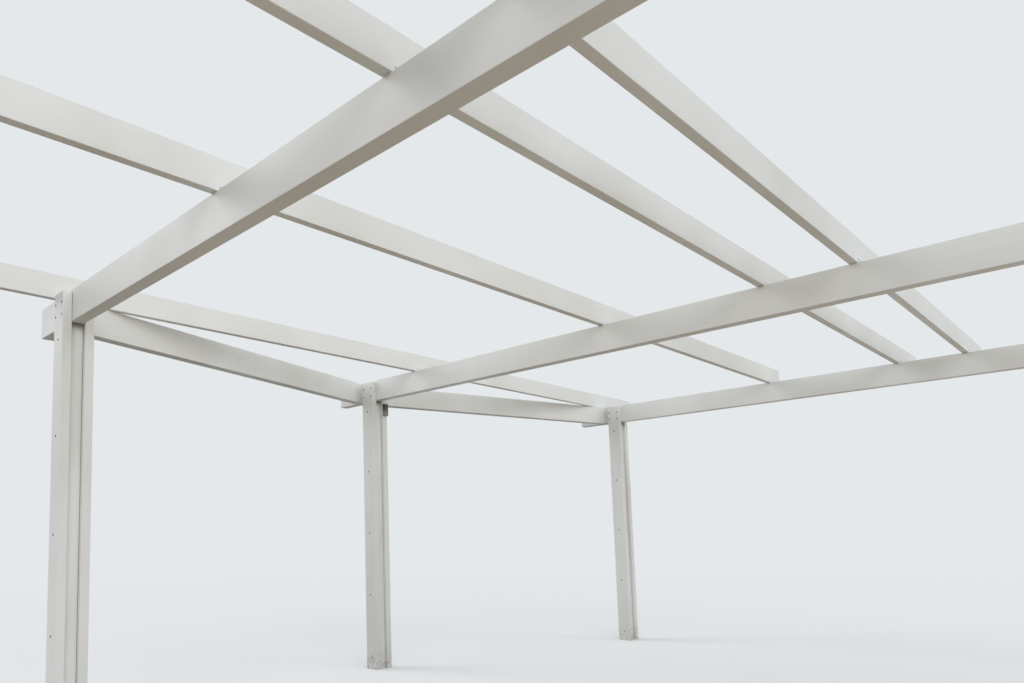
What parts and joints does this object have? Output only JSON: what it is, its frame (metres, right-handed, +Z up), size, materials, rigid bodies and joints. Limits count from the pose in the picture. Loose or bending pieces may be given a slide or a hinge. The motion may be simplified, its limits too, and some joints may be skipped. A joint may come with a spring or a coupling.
{
  "type": "garden pergola",
  "caption": "Open timber garden pergola: built-up posts carry beams in their heads, slanting side beams tie their ends, and rafters lie across the top.",
  "frame": {"origin": "on the ground, under the middle of the pergola's bounding box", "axes": "+X along the beams, +Y along the rafters and away from the one that lies further out, +Z up"},
  "size_m": [6.435, 7.715, 2.712],
  "materials": {
    "white_painted_timber": "brushed white exterior paint, satin, over sawn timber",
    "brown_grey_plastic": "moulded PVC, matt, weathered"
  },
  "bodies": {
    "root": {"post_near_left_front_board": "white_painted_timber", "post_near_left_core_board": "white_painted_timber", "post_near_left_back_board": "white_painted_timber", "post_near_right_front_board": "white_painted_timber", "post_near_right_core_board": "white_painted_timber", "post_near_right_back_board": "white_painted_timber", "post_middle_left_front_board": "white_painted_timber", "post_middle_left_core_board": "white_painted_timber", "post_middle_left_back_board": "white_painted_timber", "post_middle_right_front_board": "white_painted_timber", "post_middle_right_core_board": "white_painted_timber", "post_middle_right_back_board": "white_painted_timber", "post_far_left_front_board": "white_painted_timber", "post_far_left_core_board": "white_painted_timber", "post_far_left_back_board": "white_painted_timber", "post_far_right_front_board": "white_painted_timber", "post_far_right_core_board": "white_painted_timber", "post_far_right_back_board": "white_painted_timber", "beam_near": "white_painted_timber", "beam_middle": "white_painted_timber", "beam_far": "white_painted_timber", "side_beam_near_left": "white_painted_timber", "side_beam_near_right": "white_painted_timber", "side_beam_far_left": "white_painted_timber", "side_beam_far_right": "white_painted_timber", "rafter_outer_left": "white_painted_timber", "rafter_inner_left": "white_painted_timber", "rafter_inner_right": "white_painted_timber", "rafter_extra_right": "white_painted_timber", "rafter_outer_right": "white_painted_timber", "device_box": "brown_grey_plastic"}
  },
  "joints": []
}
